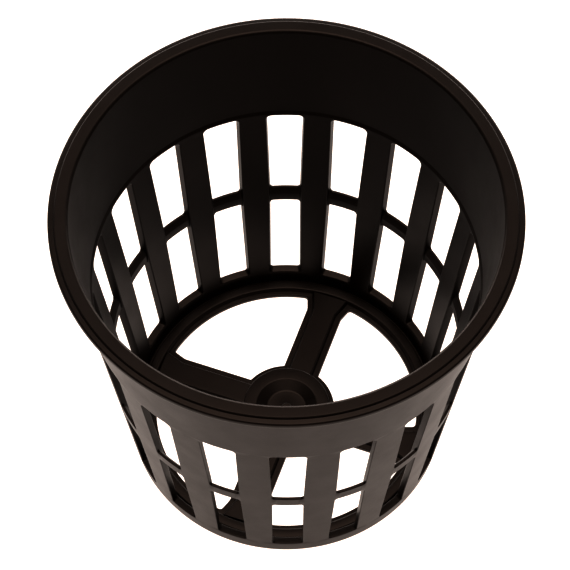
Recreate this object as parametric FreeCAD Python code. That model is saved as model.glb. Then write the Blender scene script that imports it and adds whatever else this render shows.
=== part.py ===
import FreeCAD, Part
import math
import os

# Net pot for hydroponic growing: one thin moulded piece.
# Millimetres.  +Z is up and is the pot's own axis; the origin is on that axis
# at the level of the underside of the base.  +Y is the direction of one window
# column.  A wide flange runs round the mouth, a plain collar hangs below it,
# two rows of windows leave a lattice of upright bars and one hoop, and the
# floor is a beaded ring joined to a dished hub by four flat spokes.

# ---- driving dimensions -----------------------------------------------------
# overall
rim_diameter = 56.0
height = 50.0
cone_top_diameter = 52.8        # outside of the cone, carried up to the rim level
base_diameter = 40.7            # outside of the cone at the base
base_edge_radius = 0.5

# mouth
flange_thickness = 1.3
lip_width = 0.75                # narrow outer step that runs round the flange
lip_drop = 0.35
collar_thickness = 0.8
mouth_edge_radius = 0.45
flange_root_radius = 0.4

# lattice
column_count = 18
base_band_height = 2.75
lower_window_height = 14.85
hoop_height = 2.1
upper_window_height = 15.0
window_width = 3.8              # at the outer face
window_top_width = 4.5
window_flare = 0.15             # widening of each side per millimetre inwards
upper_corner_radius = 0.6
lower_corner_radius = 0.35
window_rake = 9.0               # degrees; the lower windows dip towards the inside
bar_thickness = 1.0
hoop_thickness = 0.7
hoop_shoulder = 0.08            # full thickness kept beside each bar
hoop_flat = 0.35                # level part of the hoop's upper face
hoop_bevel = 0.9                # height of the bevel inside that flat

# floor
plate_thickness = 0.7
bead_rise = 0.5                 # ring above the plate
bead_width = 1.25
bead_slope = 0.25               # sloping flank on the inner side of the ring
groove_width = 0.3              # between the ring and the wall
ledge_width = 0.5               # plate left showing between ring and openings
spoke_count = 4
spoke_width = 4.75
rib_margin = 0.7                # plate left showing beside each rib
rib_rise = 0.5                  # as high as the ring
rib_slope = 0.25
foot_width = 0.7                # widening of a spoke where it meets the ring
foot_length = 2.0
opening_corner_radius = 0.4
first_spoke_angle = -20.0       # degrees from the direction of a window column

# hub
hub_diameter = 12.6
hub_margin = 0.55
hub_rise = 0.6
dish_diameter = 8.0
dish_floor_diameter = 5.2
dish_floor_thickness = 0.5
gate_diameter = 1.2
gate_rise = 0.4

# ---- worked out from the above ----------------------------------------------
lower_window_bottom = base_band_height
hoop_bottom = lower_window_bottom + lower_window_height
hoop_top = hoop_bottom + hoop_height
window_top = hoop_top + upper_window_height
flange_bottom = height - flange_thickness
rim_radius = rim_diameter / 2
plate_top = plate_thickness
bead_top = plate_top + bead_rise
hub_top = plate_top + hub_rise
clear = 2.0                     # how far a cutting shape runs past the wall
broad_edge = 0.45               # edges eased by this much or more get a double bevel
front_angle = 90.0              # a window column faces +Y


def cone_radius(z):
    """Outside radius of the wall at height z."""
    slope = (cone_top_diameter - base_diameter) / 2 / height
    return base_diameter / 2 + slope * z


def corner_arcs(corners):
    """Start, middle and end of the rounding at each (u, v, radius) corner."""
    count = len(corners)
    arcs = []
    for i in range(count):
        u, v, radius = corners[i]
        here = FreeCAD.Vector(u, v, 0)
        before = FreeCAD.Vector(corners[i - 1][0], corners[i - 1][1], 0) - here
        after_corner = corners[(i + 1) % count]
        after = FreeCAD.Vector(after_corner[0], after_corner[1], 0) - here
        half = before.getAngle(after) / 2
        if radius <= 0 or half > math.radians(89):
            arcs.append((here, None, here))
            continue
        reach = min(radius / math.tan(half), before.Length * 0.48, after.Length * 0.48)
        radius = reach * math.tan(half)
        before.normalize()
        after.normalize()
        middle = before + after
        middle.normalize()
        top = here + middle * (radius / math.sin(half) - radius)
        arcs.append((here + before * reach, top, here + after * reach))
    return arcs


def rounded_face(corners, place):
    """Flat face whose corners are true arcs."""
    arcs = corner_arcs(corners)
    edges = []
    for i in range(len(arcs)):
        start, top, end = arcs[i]
        following = arcs[(i + 1) % len(arcs)][0]
        if top is not None:
            edges.append(Part.Arc(place(start), place(top), place(end)).toShape())
        if (following - end).Length > 1e-6:
            edges.append(Part.makeLine(place(end), place(following)))
    return Part.Face(Part.Wire(edges))


def bevelled_outline(corners, place, broad):
    """Points of an outline eased by a bevel, or by two bevels from the broad radius up."""
    points = []
    arcs = corner_arcs(corners)
    for i in range(len(arcs)):
        start, top, end = arcs[i]
        points.append(place(start))
        if top is not None:
            if corners[i][2] >= broad:
                points.append(place(top))
            points.append(place(end))
    return points


def flat_face(points):
    return Part.Face(Part.makePolygon(points + points[:1]))


def tapered_prism(first, last):
    """Solid between two outlines that have the same corners in the same order."""
    faces = [flat_face(first), flat_face(last)]
    for i in range(len(first)):
        faces.append(flat_face([first[i - 1], first[i], last[i], last[i - 1]]))
    prism = Part.makeSolid(Part.makeShell(faces))
    if prism.Volume < 0:
        prism.reverse()
    return prism


def in_section(point):
    """Radius and height become x and z."""
    return FreeCAD.Vector(point.x, 0, point.y)


def in_plan(point):
    return FreeCAD.Vector(point.x, point.y, 0)


def turned(shape, degrees):
    """Copy of a shape made along +X, turned about the pot's axis."""
    copy = shape.copy()
    copy.rotate(FreeCAD.Vector(0, 0, 0), FreeCAD.Vector(0, 0, 1), degrees)
    return copy


# ---- wall, flange, floor plate, ring and hub as one turned section -----------
step_height = window_top + 0.3
step_run = 0.4
wall_foot = cone_radius(plate_top) - bar_thickness
bead_outer = wall_foot - groove_width
bead_inner = bead_outer - bead_width
opening_radius = bead_inner - bead_slope - ledge_width
hub_radius = hub_diameter / 2
hub_shoulder = hub_radius - hub_margin
dish_radius = dish_diameter / 2
dish_floor_radius = dish_floor_diameter / 2
gate_radius = gate_diameter / 2

section = [
    (0, 0, 0),
    (base_diameter / 2, 0, base_edge_radius),
    (cone_radius(flange_bottom), flange_bottom, flange_root_radius),
    (rim_radius, flange_bottom, 0.3),
    (rim_radius, height - lip_drop, 0.25),
    (rim_radius - lip_width, height - lip_drop, 0),
    (rim_radius - lip_width, height, 0.15),
    (cone_radius(height) - collar_thickness, height, mouth_edge_radius),
    (cone_radius(step_height + step_run) - collar_thickness, step_height + step_run, 0),
    (cone_radius(step_height) - bar_thickness, step_height, 0),
    (wall_foot, plate_top - 0.1, 0.2),
    (bead_outer, plate_top - 0.1, 0.15),
    (bead_outer, bead_top, 0.25),
    (bead_inner, bead_top, 0.2),
    (bead_inner - bead_slope, plate_top, 0.15),
    (hub_radius, plate_top, 0),
    (hub_shoulder, plate_top, 0.15),
    (hub_shoulder, hub_top, 0.25),
    (dish_radius, hub_top, 0.3),
    (dish_floor_radius, dish_floor_thickness, 0.4),
    (gate_radius, dish_floor_thickness, 0.1),
    (gate_radius, dish_floor_thickness + gate_rise, 0.15),
    (0, dish_floor_thickness + gate_rise, 0),
]
axis = FreeCAD.Vector(0, 0, 1)
centre = FreeCAD.Vector(0, 0, 0)
pot = flat_face(bevelled_outline(section, in_section, broad_edge)).revolve(centre, axis, 360)

# ---- ribs standing on the spokes ---------------------------------------------
rib_foot = spoke_width / 2 - rib_margin
rib_crown = rib_foot - rib_slope
rib_start = (dish_radius + hub_shoulder) / 2
rib_end = (bead_inner + bead_outer) / 2
rib_top = plate_top + rib_rise
rib_section = [
    (-rib_foot, plate_top - 0.3, 0),
    (rib_foot, plate_top - 0.3, 0),
    (rib_foot, plate_top, 0),
    (rib_crown, rib_top, 0.2),
    (-rib_crown, rib_top, 0.2),
    (-rib_foot, plate_top, 0),
]


def across_spoke(point):
    return FreeCAD.Vector(rib_start, point.x, point.y)


rib_length = FreeCAD.Vector(rib_end - rib_start, 0, 0)
rib = rounded_face(rib_section, across_spoke).extrude(rib_length)
spoke_angles = []
for i in range(spoke_count):
    spoke_angles.append(front_angle + first_spoke_angle + 360.0 * i / spoke_count)
pot = pot.fuse([turned(rib, angle) for angle in spoke_angles])

# ---- openings in the floor ---------------------------------------------------
deep = bead_top + 2 * clear
below = FreeCAD.Vector(0, 0, -clear)
floor_cutter = Part.makeCylinder(opening_radius, deep, below)
floor_cutter = floor_cutter.cut(Part.makeCylinder(hub_radius, deep, below))
half_spoke = spoke_width / 2
kept_plan = [
    (0, -half_spoke, 0),
    (opening_radius - foot_length, -half_spoke, 0),
    (opening_radius, -half_spoke - foot_width, 0),
    (rim_radius, -half_spoke - foot_width, 0),
    (rim_radius, half_spoke + foot_width, 0),
    (opening_radius, half_spoke + foot_width, 0),
    (opening_radius - foot_length, half_spoke, 0),
    (0, half_spoke, 0),
]
kept = rounded_face(kept_plan, in_plan).extrude(FreeCAD.Vector(0, 0, deep))
kept.translate(below)
floor_cutter = floor_cutter.cut([turned(kept, angle) for angle in spoke_angles])
for opening in floor_cutter.Solids:
    uprights = []
    for edge in opening.Edges:
        ends = [vertex.Point for vertex in edge.Vertexes]
        upright = len(ends) == 2 and abs(abs(ends[0].z - ends[1].z) - deep) < 1e-6
        if upright and math.hypot(ends[0].x, ends[0].y) > hub_radius + clear:
            uprights.append(edge)
    pot = pot.cut(opening.makeFillet(opening_corner_radius, uprights))

# ---- windows -----------------------------------------------------------------
reach = bar_thickness + clear
bottom_radius = cone_radius(lower_window_bottom)
rake = math.radians(window_rake)
rake_rise = math.tan(rake) * (cone_radius(hoop_bottom) - bottom_radius)
lower_length = (lower_window_height - rake_rise) * math.cos(rake)


def window_tool(bottom_width, top_width, bottom, length, bottom_round, top_round):
    """Solid along X with a window as its section, its corners eased, widening inwards."""
    start = cone_radius(bottom + length) + clear
    end = cone_radius(bottom) - reach
    ends = []
    for x in (start, end):
        growth = window_flare * (cone_radius(bottom) - x)
        outline = [
            (-bottom_width / 2 - growth, bottom, bottom_round),
            (bottom_width / 2 + growth, bottom, bottom_round),
            (top_width / 2 + growth, bottom + length, top_round),
            (-top_width / 2 - growth, bottom + length, top_round),
        ]
        ends.append(bevelled_outline(
            outline, lambda point: FreeCAD.Vector(x, point.x, point.y), broad_edge))
    return tapered_prism(ends[0], ends[1])


upper_cutter = window_tool(
    window_width, window_top_width, hoop_top, upper_window_height,
    upper_corner_radius * 0.6, upper_corner_radius)
lower_cutter = window_tool(
    window_width, window_width, lower_window_bottom, lower_length,
    lower_corner_radius, lower_corner_radius)
sill = FreeCAD.Vector(bottom_radius, 0, lower_window_bottom)
lower_cutter.rotate(sill, FreeCAD.Vector(0, 1, 0), -window_rake)

# The hoop is set back from the bars on the inside, with a bevelled upper edge.
hoop_face = cone_radius(hoop_bottom) - hoop_thickness
bevel_foot = hoop_top - hoop_bevel
flat_edge = cone_radius(hoop_top) - hoop_flat
inside = hoop_face - reach
set_back_section = [
    (inside, hoop_bottom - 1.0, 0),
    (cone_radius(hoop_bottom - 1.0) - hoop_thickness, hoop_bottom - 1.0, 0),
    (cone_radius(bevel_foot) - hoop_thickness, bevel_foot, 0),
    (flat_edge, hoop_top, 0),
    (flat_edge, hoop_top + 0.5, 0),
    (inside, hoop_top + 0.5, 0),
]
set_back_width = window_width - 2 * hoop_shoulder
set_back = rounded_face(set_back_section, in_section)
set_back.translate(FreeCAD.Vector(0, -set_back_width / 2, 0))
set_back = set_back.extrude(FreeCAD.Vector(0, set_back_width, 0))

column_angles = []
for i in range(column_count):
    column_angles.append(front_angle + 360.0 * i / column_count)
for cutter in (upper_cutter, lower_cutter, set_back):
    pot = pot.cut([turned(cutter, angle) for angle in column_angles])

if pot.ShapeType != "Solid" and len(pot.Solids) == 1:
    pot = pot.Solids[0]
if len(pot.Solids) != 1 or not pot.isValid():
    raise ValueError("the net pot did not come out as one sound solid")

os.makedirs("parts", exist_ok=True)
pot.exportStep("parts/net_pot.step")
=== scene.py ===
import math

import bmesh
import bpy
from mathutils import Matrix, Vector
from mathutils.geometry import tessellate_polygon


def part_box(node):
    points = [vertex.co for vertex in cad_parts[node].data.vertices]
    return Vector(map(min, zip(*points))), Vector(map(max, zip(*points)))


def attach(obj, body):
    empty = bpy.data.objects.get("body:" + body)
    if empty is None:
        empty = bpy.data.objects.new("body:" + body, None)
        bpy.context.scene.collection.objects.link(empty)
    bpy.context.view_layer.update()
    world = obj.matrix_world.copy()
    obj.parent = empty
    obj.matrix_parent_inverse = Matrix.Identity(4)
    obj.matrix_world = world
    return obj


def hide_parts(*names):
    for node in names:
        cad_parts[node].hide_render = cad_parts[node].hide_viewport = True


# Net pot: the one moulded piece, dressed as satin black-brown plastic.
# The frame is in metres.  The moulding is worked out in millimetres, in the
# frame's own axes, and brought to metres when its mesh is made.

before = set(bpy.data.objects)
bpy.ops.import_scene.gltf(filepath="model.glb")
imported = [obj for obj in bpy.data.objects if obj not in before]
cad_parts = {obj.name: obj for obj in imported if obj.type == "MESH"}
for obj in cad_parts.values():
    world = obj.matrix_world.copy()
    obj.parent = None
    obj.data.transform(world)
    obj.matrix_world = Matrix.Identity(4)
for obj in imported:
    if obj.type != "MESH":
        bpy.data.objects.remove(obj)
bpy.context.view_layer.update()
pot_low, pot_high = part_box("net_pot")

# ---- sizes, in millimetres ----------------------------------------------------
MM = 0.001
height = (pot_high.z - pot_low.z) / MM
rim_radius = (pot_high.x - pot_low.x) / 2 / MM

# mouth
cone_top_radius = 26.4          # outside of the wall, carried up to the rim level
base_radius = 20.35
base_edge_radius = 0.5
flange_thickness = 1.3
lip_width = 0.75
lip_drop = 0.35
collar_thickness = 0.8
mouth_edge_radius = 0.45
flange_root_radius = 0.4
flange_under_radius = 0.3
lip_radius = 0.25
lip_foot_radius = 0.1
band_edge_radius = 0.18
step_gap = 0.3                  # from the windows' tops up to the step inside
step_rise = 0.4
step_upper_radius = 0.3
step_lower_radius = 0.08

# lattice
column_count = 18
front_angle = 90.0              # degrees; one window column faces +Y
sill_height = 2.75
hoop_bottom = 17.6
hoop_top = 19.7
window_top = 34.7
window_half_width = 1.9
window_top_half_width = 2.25
upper_corner_radius = 0.7
lower_corner_radius = 0.35
sill_fall = 0.16                # fall of the sills per millimetre inwards
window_flare = 0.15             # widening of the windows per millimetre inwards
bar_thickness = 1.0
edge_radius = 0.13              # easing of every window edge
hoop_thickness = 0.7
hoop_flat = 0.35
hoop_bevel = 0.9
hoop_tuck = 0.25                # length of the hoop's ends hidden in the bars
hoop_top_radius = 0.08
hoop_inner_radius = 0.2
cell_below = 0.55               # wall that belongs to a column, under its windows
cell_above = 0.2                # the same above its windows
hair = 0.004                    # gap that keeps flush faces apart

# floor
plate_top = 0.7
bury_depth = 0.2                # how far raised forms reach down into the plate
base_rim_margin = 1.0
bead_top = 1.2
bead_width = 1.25
bead_slope = 0.25
bead_outer_radius = 0.22
bead_inner_radius = 0.25
bead_foot_radius = 0.15
bead_root = 0.15                # how far its foot runs on under the plate's face
bead_sink = 0.02
groove_width = 0.3
groove_floor = 0.6
groove_radius = 0.2
ledge_width = 0.5
spoke_count = 4
spoke_angle = 70.0              # degrees; direction of the first spoke
spoke_half_width = 2.375
rib_margin = 0.7
rib_slope = 0.25
rib_top_radius = 0.15
rib_inset = 0.5                 # from the rib's edge to its flat middle
rib_overlap = 0.3               # how far a rib runs into the ring
rib_start = 0.2                 # how far from the plate's middle hole a rib begins
foot_width = 0.7
foot_length = 2.0
foot_bend_radius = 1.5
opening_corner_radius = 0.45
hub_corner_radius = 0.15

# hub
hub_radius = 6.3
hub_margin = 0.55
hub_top = 1.3
dish_radius = 4.0
dish_floor_radius = 2.6
dish_floor = 0.5
gate_radius = 0.6
gate_rise = 0.4
gate_crown = 0.08
gate_flare = 0.1
gate_edge_radius = 0.15
gate_root_radius = 0.1
hub_draft = 0.12
hub_edge_radius = 0.2
dish_edge_radius = 0.3
dish_hollow_radius = 0.5

# light table: the floor glows, with a painted pool of stronger light before the pot
painted_pool_distance = 45.0            # centre of its brightest part, before the pot
painted_pool_radius = 45.0
painted_pool_strength = 1.52            # of the glow there
table_strength = 1.355          # of the glow everywhere else

# surround, as brightness by direction; X, Y and Z are parts of a unit vector
surround_strength = 0.45
overhead_strength = 9.6
overhead_low = 0.86             # Z where the overhead light begins
overhead_high = 0.96            # Z where it is full
back_strength = 16.8
back_low = 0.60                 # Y where the light at the back begins
back_high = 0.85
back_fade_start = 0.35          # Z where it begins to fade upwards
back_fade_end = 0.55
display_gamma = 0.7
floor_reach = 40.0              # half the floor's width, in rim radii

# camera
camera_elevation = 59.82        # degrees above the horizontal
camera_swing = 0.425            # degrees off the front
camera_distance = 12.452        # in rim radii
target_drop = 0.6123            # of the point aimed at, below the rim, in rim radii
camera_lens = 180.3
camera_shift_x = -0.0025
camera_shift_y = -0.0003

# fineness of the mesh
COLUMN_STEPS = 16               # faces across one column, all the way round
AROUND = COLUMN_STEPS * column_count
ARC_STEPS = 4                   # faces in each small rounding
CORNER_STEPS = 8                # faces in each window corner
SIDE_STEPS = 34                 # faces up the straight side of a window
HOOP_END_STEPS = 6
HOOP_MIDDLE_STEPS = 10
OPENING_STEPS = 40              # faces along the outer arc of a floor opening
HUB_STEPS = 16                  # faces along its arc at the hub
ARC_MARGIN = 0.055              # radians kept free beside an arc for its corner
CORNER_SHARE = 0.48             # most of a side that one rounding may take up
WELD_DISTANCE = 0.0005
SHARP_ANGLE = 42.0              # degrees

# ---- worked out from the above --------------------------------------------------
flange_bottom = height - flange_thickness
column_pitch = 360.0 / column_count
cell_bottom = sill_height - cell_below
cell_top = window_top + cell_above
step_bottom = window_top + step_gap
step_top = step_bottom + step_rise


def cone_radius(z):
    """Outside radius of the wall at height z."""
    return base_radius + (cone_top_radius - base_radius) * z / height


def around(radius, z, angle):
    return (radius * math.cos(angle), radius * math.sin(angle), z)


wall_foot = cone_radius(plate_top) - bar_thickness
bead_outer = wall_foot - groove_width
bead_inner = bead_outer - bead_width
bead_foot = bead_inner - bead_slope
opening_radius = bead_foot - ledge_width
plate_rim = bead_outer - bead_width / 2
base_rim = opening_radius + base_rim_margin
hub_shoulder = hub_radius - hub_margin
plate_hole = (hub_shoulder + dish_radius) / 2


# ---- mesh building ---------------------------------------------------------------
class Moulding:
    """Points in millimetres and faces, gathered skin by skin."""

    def __init__(self):
        self.points = []
        self.faces = []

    def skin(self, rows):
        """Quads between neighbouring closed rows of points."""
        first = len(self.points)
        width = len(rows[0])
        for row in rows:
            self.points.extend(row)
        for i in range(len(rows) - 1):
            start = first + i * width
            for j in range(width):
                k = (j + 1) % width
                self.faces.append(
                    (start + j, start + k, start + width + k, start + width + j))

    def sheet(self, outline, holes=()):
        """Flat face filling an outline, apart from its holes."""
        loops = [[Vector(point) for point in loop] for loop in (outline, *holes)]
        first = len(self.points)
        for loop in loops:
            self.points.extend(tuple(point) for point in loop)
        for triangle in tessellate_polygon(loops):
            self.faces.append(tuple(first + index for index in triangle))

    def mesh(self, name):
        """Welded mesh in metres, with its faces turned outwards."""
        made = bmesh.new()
        corners = [made.verts.new(Vector(point) * MM) for point in self.points]
        for face in self.faces:
            made.faces.new([corners[index] for index in face])
        bmesh.ops.remove_doubles(made, verts=made.verts, dist=WELD_DISTANCE * MM)
        bmesh.ops.recalc_face_normals(made, faces=made.faces)
        for face in made.faces:
            face.smooth = True
        mesh = bpy.data.meshes.new(name)
        made.to_mesh(mesh)
        made.free()
        mesh.set_sharp_from_angle(angle=math.radians(SHARP_ANGLE))
        return mesh


def eased(corners, closed=False, steps=ARC_STEPS):
    """Path through (u, v, radius) corners, each rounded by an arc of that radius."""
    path = []
    count = len(corners)
    for i, (u, v, radius) in enumerate(corners):
        here = Vector((u, v))
        loose_end = not closed and i in (0, count - 1)
        if loose_end or radius <= 0:
            path.append(here)
            continue
        before = Vector(corners[i - 1][:2]) - here
        after = Vector(corners[(i + 1) % count][:2]) - here
        half = before.angle(after) / 2
        reach = radius / math.tan(half)
        reach = min(reach, before.length * CORNER_SHARE, after.length * CORNER_SHARE)
        radius = reach * math.tan(half)
        inward = (before.normalized() + after.normalized()).normalized()
        centre = here + inward * (radius / math.sin(half))
        arm = here + before.normalized() * reach - centre
        bend = math.pi - 2 * half
        if after.cross(before) > 0:
            bend = -bend
        for k in range(steps + 1):
            angle = bend * -k / steps
            path.append(centre + Vector((
                arm.x * math.cos(angle) - arm.y * math.sin(angle),
                arm.x * math.sin(angle) + arm.y * math.cos(angle))))
    return path


def turn_section(moulding, section):
    """Skin turned about the pot's axis from a path of radius and height."""
    start = math.radians(front_angle - column_pitch / 2)
    step = 2 * math.pi / AROUND
    rows = []
    for point in section:
        rows.append([around(point.x, point.y, start + step * j) for j in range(AROUND)])
    moulding.skin(rows)


def ring(radius, z):
    start = math.radians(front_angle - column_pitch / 2)
    step = 2 * math.pi / AROUND
    return [around(radius, z, start + step * j) for j in range(AROUND)]


# ---- wall above and below the windows ---------------------------------------------
def add_mouth(moulding):
    """Collar, flange with its lip, and the step inside above the windows."""
    band_inner = cone_radius(height) - collar_thickness
    turn_section(moulding, eased([
        (cone_radius(cell_top), cell_top, 0),
        (cone_radius(flange_bottom), flange_bottom, flange_root_radius),
        (rim_radius, flange_bottom, flange_under_radius),
        (rim_radius, height - lip_drop, lip_radius),
        (rim_radius - lip_width, height - lip_drop, lip_foot_radius),
        (rim_radius - lip_width, height, band_edge_radius),
        (band_inner, height, mouth_edge_radius),
        (cone_radius(step_top) - collar_thickness, step_top, step_upper_radius),
        (cone_radius(step_bottom) - bar_thickness, step_bottom, step_lower_radius),
        (cone_radius(cell_top) - bar_thickness, cell_top, 0),
    ]))


def add_base(moulding):
    """Band under the windows, base edge and the groove inside."""
    turn_section(moulding, eased([
        (cone_radius(cell_bottom), cell_bottom, 0),
        (base_radius, 0, base_edge_radius),
        (base_rim, 0, 0),
    ]))
    turn_section(moulding, eased([
        (cone_radius(cell_bottom) - bar_thickness, cell_bottom, 0),
        (wall_foot, groove_floor, groove_radius),
        (plate_rim, groove_floor, 0),
        (plate_rim, plate_top, 0),
    ]))


# ---- lattice ------------------------------------------------------------------------
def half_width(z):
    """Half the width of a window column at height z."""
    share = max(0.0, (z - hoop_top) / (window_top - hoop_top))
    return window_half_width + (window_top_half_width - window_half_width) * share


def on_wall(u, z, depth, angle):
    """Point of a window's side: u across the window, depth in from the outer face."""
    along = math.sqrt((cone_radius(z) - depth) ** 2 - u ** 2)
    x, y = math.cos(angle), math.sin(angle)
    return (along * x - u * y, along * y + u * x, z)


def window_loop(spread, depth, angle):
    """Outline of one tall window, opened out by spread, at a depth in the wall."""
    spread_here = spread + window_flare * depth
    bottom = sill_height - spread - sill_fall * depth
    top = window_top + spread
    low_round = lower_corner_radius + spread
    high_round = upper_corner_radius + spread
    half_corner = CORNER_STEPS // 2
    quarter = math.pi / 2

    def corner(side, z, radius, start, first, last):
        middle = side * (half_width(z) + spread_here - radius)
        centre_z = z + radius if z == bottom else z - radius
        points = []
        for k in range(first, last + 1):
            angle_here = start + quarter * k / CORNER_STEPS
            points.append((middle + radius * math.cos(angle_here),
                           centre_z + radius * math.sin(angle_here)))
        return points

    flat = []
    flat += corner(-1, bottom, low_round, math.pi, half_corner, CORNER_STEPS)
    edge_start = flat[-1][0]
    edge_steps = COLUMN_STEPS - CORNER_STEPS
    for k in range(1, edge_steps):
        flat.append((edge_start - 2 * edge_start * k / edge_steps, bottom))
    flat += corner(1, bottom, low_round, 3 * quarter, 0, CORNER_STEPS)
    side_low = flat[-1][1]
    side_high = top - high_round
    for k in range(1, SIDE_STEPS):
        z = side_low + (side_high - side_low) * k / SIDE_STEPS
        flat.append((half_width(z) + spread_here, z))
    flat += corner(1, top, high_round, 0.0, 0, CORNER_STEPS)
    edge_start = flat[-1][0]
    for k in range(1, edge_steps):
        flat.append((edge_start - 2 * edge_start * k / edge_steps, top))
    flat += corner(-1, top, high_round, quarter, 0, CORNER_STEPS)
    for k in range(1, SIDE_STEPS):
        z = side_high + (side_low - side_high) * k / SIDE_STEPS
        flat.append((-half_width(z) - spread_here, z))
    flat += corner(-1, bottom, low_round, math.pi, 0, half_corner - 1)
    return [on_wall(u, z, depth, angle) for u, z in flat]


def cell_loop(depth, angle):
    """Border of one column's share of the wall, point for point with the window."""
    half = math.radians(column_pitch / 2)
    half_corner = CORNER_STEPS // 2
    side_low = sill_height + lower_corner_radius
    side_high = window_top - upper_corner_radius
    heights = []
    for k in range(half_corner):
        heights.append(cell_bottom + (side_low - cell_bottom) * k / half_corner)
    for k in range(SIDE_STEPS):
        heights.append(side_low + (side_high - side_low) * k / SIDE_STEPS)
    for k in range(half_corner):
        heights.append(side_high + (cell_top - side_high) * k / half_corner)
    heights.append(cell_top)
    step = 2 * half / COLUMN_STEPS
    loop = []
    for k in range(COLUMN_STEPS):
        loop.append((-half + step * k, cell_bottom))
    for z in heights[:-1]:
        loop.append((half, z))
    for k in range(COLUMN_STEPS):
        loop.append((half - step * k, cell_top))
    for z in reversed(heights[1:]):
        loop.append((-half, z))
    return [around(cone_radius(z) - depth, z, angle + turn) for turn, z in loop]


def eased_edge():
    """Spread and depth of the rows of one rounded window edge, face first."""
    rows = []
    for k in range(ARC_STEPS + 1):
        bend = math.pi / 2 * k / ARC_STEPS
        rows.append((edge_radius * (1 - math.sin(bend)), edge_radius * (1 - math.cos(bend))))
    return rows


def add_column(moulding, angle):
    """Wall round one window column: both faces, both rounded edges, the sides."""
    rows = [cell_loop(0, angle)]
    for spread, depth in eased_edge():
        rows.append(window_loop(spread, depth, angle))
    for spread, depth in reversed(eased_edge()):
        rows.append(window_loop(spread, bar_thickness - depth, angle))
    rows.append(cell_loop(bar_thickness, angle))
    moulding.skin(rows)


def add_hoop(moulding, angle):
    """Piece of the hoop that crosses one window column, set back inside."""
    end = window_half_width
    flare_radius = lower_corner_radius
    stations = []
    for k in range(HOOP_END_STEPS + 1):
        bend = math.pi / 2 * k / HOOP_END_STEPS
        stations.append((end - flare_radius * (1 - math.sin(bend)),
                         flare_radius * (1 - math.cos(bend))))
    stations.append((end + hoop_tuck, flare_radius))
    across = [(-u, flare) for u, flare in reversed(stations)]
    inner = stations[0][0]
    for k in range(1, HOOP_MIDDLE_STEPS):
        across.append((-inner + 2 * inner * k / HOOP_MIDDLE_STEPS, 0))
    across += stations
    rows = []
    for u, flare in across:
        under = hoop_bottom - flare - sill_fall * hoop_thickness
        section = eased([
            (hair, hoop_bottom - flare, edge_radius),
            (hair, hoop_top + flare, edge_radius),
            (hoop_flat, hoop_top + flare, hoop_top_radius),
            (hoop_thickness, hoop_top - hoop_bevel, hoop_inner_radius),
            (hoop_thickness, under, edge_radius),
        ], closed=True)
        rows.append([on_wall(u, point.y, point.x, angle) for point in section])
    moulding.skin(rows)


# ---- floor ---------------------------------------------------------------------------
def meet_circle(start, heading, radius):
    """Where a line going outwards crosses a circle about the axis."""
    along = start.dot(heading)
    return start + heading * (-along + math.sqrt(along ** 2 - start.dot(start) + radius ** 2))


def turned_path(path, z, angle):
    x, y = math.cos(angle), math.sin(angle)
    return [(point.x * x - point.y * y, point.x * y + point.y * x, z) for point in path]


def opening_path(spread):
    """Outline of a floor opening between a spoke along +X and one along +Y."""
    side = spoke_half_width - spread
    outer = opening_radius + spread
    inner = hub_radius - spread
    bend = Vector((opening_radius - foot_length, side))
    foot = meet_circle(bend, Vector((foot_length, foot_width)).normalized(), outer)
    root = Vector((math.sqrt(inner ** 2 - side ** 2), side))
    corner_round = opening_corner_radius + spread
    near_side = [(root.x, root.y, hub_corner_radius + spread),
                 (bend.x, bend.y, foot_bend_radius),
                 (foot.x, foot.y, corner_round)]
    outline = list(near_side)
    first = math.atan2(foot.y, foot.x) + ARC_MARGIN
    for k in range(OPENING_STEPS + 1):
        angle = first + (math.pi / 2 - 2 * first) * k / OPENING_STEPS
        outline.append((outer * math.cos(angle), outer * math.sin(angle), 0))
    outline += [(y, x, radius) for x, y, radius in reversed(near_side)]
    first = math.atan2(root.y, root.x) + ARC_MARGIN
    for k in range(HUB_STEPS + 1):
        angle = math.pi / 2 - first - (math.pi / 2 - 2 * first) * k / HUB_STEPS
        outline.append((inner * math.cos(angle), inner * math.sin(angle), 0))
    return eased(outline, closed=True, steps=ARC_STEPS + 2)


def add_floor(moulding, spoke_turns):
    """Plate with its sector openings, all edges rounded."""
    upper_holes = []
    lower_holes = []
    for angle in spoke_turns:
        rows = []
        for spread, depth in eased_edge():
            rows.append(turned_path(opening_path(spread), plate_top - depth, angle))
        for spread, depth in reversed(eased_edge()):
            rows.append(turned_path(opening_path(spread), depth, angle))
        moulding.skin(rows)
        upper_holes.append(rows[0])
        lower_holes.append(rows[-1])
    upper_holes.append(ring(plate_hole, plate_top))
    moulding.sheet(ring(plate_rim, plate_top), upper_holes)
    moulding.sheet(ring(base_rim, 0), lower_holes)


def add_bead(moulding):
    """Ring standing on the plate beside the wall."""
    buried = plate_top - bury_depth
    section = eased([
        (bead_outer, buried, 0),
        (bead_outer, bead_top, bead_outer_radius),
        (bead_inner, bead_top, bead_inner_radius),
        (bead_foot, plate_top, bead_foot_radius),
        (bead_foot - bead_root, plate_top - bead_sink, 0),
        (bead_foot - bead_root, buried, 0),
    ], closed=True)
    section.append(section[0])
    turn_section(moulding, section)


def rib_path(shrink):
    """Plan of a rib along +X, from the hub to the ring, drawn in by shrink."""
    side = spoke_half_width - rib_margin - shrink
    bend = opening_radius - foot_length
    end = bead_inner - rib_overlap
    spreading = side + foot_width * (end - bend) / foot_length
    start = plate_hole + rib_start
    return [(start, -side, 0), (bend, -side, foot_bend_radius), (end, -spreading, 0),
            (end, spreading, 0), (bend, side, foot_bend_radius), (start, side, 0)]


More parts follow.
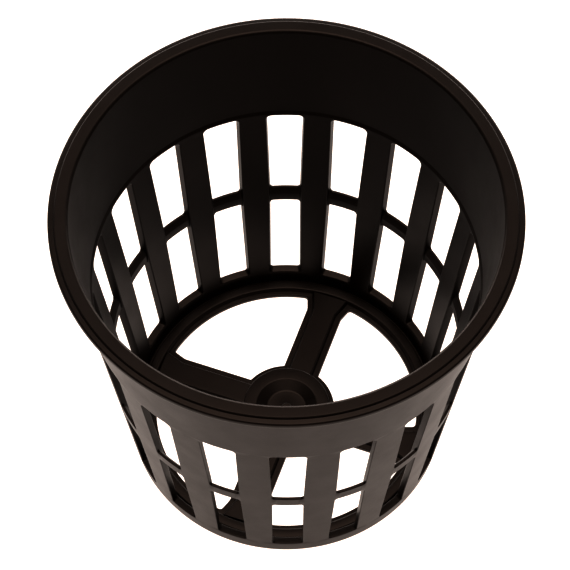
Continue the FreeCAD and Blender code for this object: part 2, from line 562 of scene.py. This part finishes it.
def add_rib(moulding, angle):
    """Raised flat rib on a spoke, flush with the ring."""
    top = bead_top - hair
    flank = eased([
        (0, plate_top - bury_depth, 0),
        (0, plate_top, 0),
        (rib_slope, top, rib_top_radius),
        (rib_slope + rib_inset, top, 0),
    ])
    rows = []
    for point in flank:
        outline = eased(rib_path(point.x), closed=True)
        rows.append(turned_path(outline, point.y, angle))
    moulding.skin(rows)
    moulding.sheet(rows[-1])
    moulding.sheet(rows[0])


def add_hub(moulding):
    """Raised hub with its dish and the stub left by the gate."""
    buried = plate_top - bury_depth
    turn_section(moulding, eased([
        (plate_hole, dish_floor - bury_depth, 0),
        (plate_hole, buried, 0),
        (hub_shoulder, buried, 0),
        (hub_shoulder, plate_top, 0),
        (hub_shoulder - hub_draft, hub_top, hub_edge_radius),
        (dish_radius, hub_top, dish_edge_radius),
        (dish_floor_radius, dish_floor, dish_hollow_radius),
        (gate_radius + gate_flare, dish_floor, gate_root_radius),
        (gate_radius, dish_floor + gate_rise, gate_edge_radius),
        (0.0, dish_floor + gate_rise - gate_crown, 0),
    ]))
    moulding.sheet(ring(plate_hole, dish_floor - bury_depth))


# ---- the pot ----------------------------------------------------------------------------
def build_pot():
    moulding = Moulding()
    add_mouth(moulding)
    add_base(moulding)
    for i in range(column_count):
        angle = math.radians(front_angle + column_pitch * i)
        add_column(moulding, angle)
        add_hoop(moulding, angle)
    spoke_turns = []
    for i in range(spoke_count):
        spoke_turns.append(math.radians(spoke_angle + 360.0 * i / spoke_count))
    add_floor(moulding, spoke_turns)
    add_bead(moulding)
    for angle in spoke_turns:
        add_rib(moulding, angle)
    add_hub(moulding)
    pot = bpy.data.objects.new("pot_moulding", moulding.mesh("pot_moulding"))
    bpy.context.scene.collection.objects.link(pot)
    weighting = pot.modifiers.new("weighted_normals", "WEIGHTED_NORMAL")
    weighting.keep_sharp = True
    weighting.weight = 50
    return pot


# ---- materials -----------------------------------------------------------------------------
def node(tree, kind, x, y, **settings):
    made = tree.nodes.new(kind)
    made.location = (x, y)
    for name, value in settings.items():
        setattr(made, name, value)
    return made


def noise(tree, place, scale, detail, roughness, y):
    made = node(tree, "ShaderNodeTexNoise", -900, y)
    made.inputs["Scale"].default_value = scale
    made.inputs["Detail"].default_value = detail
    made.inputs["Roughness"].default_value = roughness
    tree.links.new(place, made.inputs["Vector"])
    return made.outputs["Fac"]


def mapped(tree, value, low, high, out_low, out_high, y):
    made = node(tree, "ShaderNodeMapRange", -640, y)
    made.inputs["From Min"].default_value = low
    made.inputs["From Max"].default_value = high
    made.inputs["To Min"].default_value = out_low
    made.inputs["To Max"].default_value = out_high
    tree.links.new(value, made.inputs["Value"])
    return made.outputs["Result"]


def plastic_material():
    """Dark satin polypropylene: faint mottling, uneven gloss, fine mould grain."""
    material = bpy.data.materials.new("pot_plastic")
    material.use_nodes = True
    tree = material.node_tree
    shader = tree.nodes["Principled BSDF"]
    shader.inputs["IOR"].default_value = 1.49
    shader.inputs["Specular IOR Level"].default_value = 0.12
    shader.inputs["Specular Tint"].default_value = (1.0, 0.74, 0.61, 1)
    place = node(tree, "ShaderNodeTexCoord", -1200, 0).outputs["Object"]

    broad = noise(tree, place, 90.0, 3.0, 0.55, 300)
    colours = node(tree, "ShaderNodeValToRGB", -400, 300)
    colours.color_ramp.elements[0].position = 0.3
    colours.color_ramp.elements[0].color = (0.0020, 0.0010, 0.0006, 1)
    colours.color_ramp.elements[1].position = 0.7
    colours.color_ramp.elements[1].color = (0.0036, 0.0019, 0.0013, 1)
    tree.links.new(broad, colours.inputs["Fac"])
    tree.links.new(colours.outputs["Color"], shader.inputs["Base Color"])

    gloss = noise(tree, place, 240.0, 4.0, 0.6, 0)
    tree.links.new(mapped(tree, gloss, 0.3, 0.7, 0.33, 0.385, 0), shader.inputs["Roughness"])

    grain = noise(tree, place, 5200.0, 3.0, 0.6, -300)
    waves = noise(tree, place, 420.0, 2.0, 0.5, -600)
    fine = node(tree, "ShaderNodeBump", -200, -300)
    fine.inputs["Strength"].default_value = 0.22
    fine.inputs["Distance"].default_value = 0.00002
    soft = node(tree, "ShaderNodeBump", -200, -600)
    soft.inputs["Strength"].default_value = 0.09
    soft.inputs["Distance"].default_value = 0.00006
    tree.links.new(grain, fine.inputs["Height"])
    tree.links.new(waves, soft.inputs["Height"])
    tree.links.new(soft.outputs["Normal"], fine.inputs["Normal"])
    tree.links.new(fine.outputs["Normal"], shader.inputs["Normal"])
    return material


def floor_material():
    """Pale sheet that glows as on a light table, with a painted pool of stronger light before
    the pot.
    """
    material = bpy.data.materials.new("pale_floor")
    material.use_nodes = True
    tree = material.node_tree
    shader = tree.nodes["Principled BSDF"]
    shader.inputs["Base Color"].default_value = (0.2, 0.2, 0.2, 1)
    shader.inputs["Roughness"].default_value = 0.9
    shader.inputs["Specular IOR Level"].default_value = 0.0
    shader.inputs["Emission Color"].default_value = (1.0, 0.85, 0.765, 1)
    place = node(tree, "ShaderNodeTexCoord", -1200, 0).outputs["Object"]
    shift = node(tree, "ShaderNodeVectorMath", -1000, 0, operation="DISTANCE")
    shift.inputs[1].default_value = (0, -painted_pool_distance * MM, 0)
    tree.links.new(place, shift.inputs[0])
    # painted pool of light: the glow is strongest at a point before the pot and fades to the
    # even table glow
    glow = mapped(tree, shift.outputs["Value"], 0.0, painted_pool_radius * MM,
                  painted_pool_strength, table_strength, 0)
    tree.links.new(glow, shader.inputs["Emission Strength"])
    return material


# ---- studio ----------------------------------------------------------------------------------
def aim(thing, position, target):
    thing.location = position
    thing.rotation_euler = (target - position).to_track_quat("-Z", "Y").to_euler()


def add_studio():
    """Pale lit floor, the light around it and the plain display settings."""
    reach = rim_radius * MM * floor_reach
    mesh = bpy.data.meshes.new("floor")
    corners = [(-reach, -reach, 0), (reach, -reach, 0), (reach, reach, 0), (-reach, reach, 0)]
    mesh.from_pydata(corners, [], [(0, 1, 2, 3)])
    floor = bpy.data.objects.new("floor", mesh)
    floor.data.materials.append(floor_material())
    bpy.context.scene.collection.objects.link(floor)

    add_sky()
    scene = bpy.context.scene
    scene.view_settings.view_transform = "Standard"
    scene.view_settings.gamma = display_gamma


def add_sky():
    """Soft surround with a large softbox overhead and a long low one at the back."""
    world = bpy.data.worlds.new("studio")
    world.use_nodes = True
    tree = world.node_tree
    background = tree.nodes["Background"]
    place = node(tree, "ShaderNodeTexCoord", -1400, 0).outputs["Generated"]
    split = node(tree, "ShaderNodeSeparateXYZ", -1200, 0)
    tree.links.new(place, split.inputs["Vector"])
    overhead = mapped(tree, split.outputs["Z"], overhead_low, overhead_high,
                      0.0, overhead_strength, 300)
    behind = mapped(tree, split.outputs["Y"], back_low, back_high, 0.0, back_strength, 0)
    lowness = mapped(tree, split.outputs["Z"], back_fade_start, back_fade_end, 1.0, 0.0, -300)
    low_back = node(tree, "ShaderNodeMath", -400, -100, operation="MULTIPLY")
    tree.links.new(behind, low_back.inputs[0])
    tree.links.new(lowness, low_back.inputs[1])
    boxes = node(tree, "ShaderNodeMath", -200, 0, operation="ADD")
    tree.links.new(overhead, boxes.inputs[0])
    tree.links.new(low_back.outputs["Value"], boxes.inputs[1])
    total = node(tree, "ShaderNodeMath", 0, 0, operation="ADD")
    tree.links.new(boxes.outputs["Value"], total.inputs[0])
    total.inputs[1].default_value = surround_strength
    tree.links.new(total.outputs["Value"], background.inputs["Strength"])
    background.inputs["Color"].default_value = (1.0, 0.97, 0.94, 1)
    bpy.context.scene.world = world


def add_camera():
    """Long lens looking steeply down into the mouth."""
    elevation = math.radians(camera_elevation)
    swing = math.radians(camera_swing)
    distance = camera_distance * rim_radius * MM
    target = Vector((0, 0, (height - target_drop * rim_radius) * MM))
    heading = Vector((-math.sin(swing) * math.cos(elevation),
                      -math.cos(swing) * math.cos(elevation),
                      math.sin(elevation)))
    data = bpy.data.cameras.new("camera")
    data.sensor_width = 36.0
    data.lens = camera_lens
    data.shift_x = camera_shift_x
    data.shift_y = camera_shift_y
    data.clip_start = 0.01
    camera = bpy.data.objects.new("camera", data)
    bpy.context.scene.collection.objects.link(camera)
    aim(camera, target + heading * distance, target)
    bpy.context.scene.camera = camera


pot = build_pot()
pot.data.materials.append(plastic_material())
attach(pot, "root")
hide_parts("net_pot")
add_studio()
add_camera()
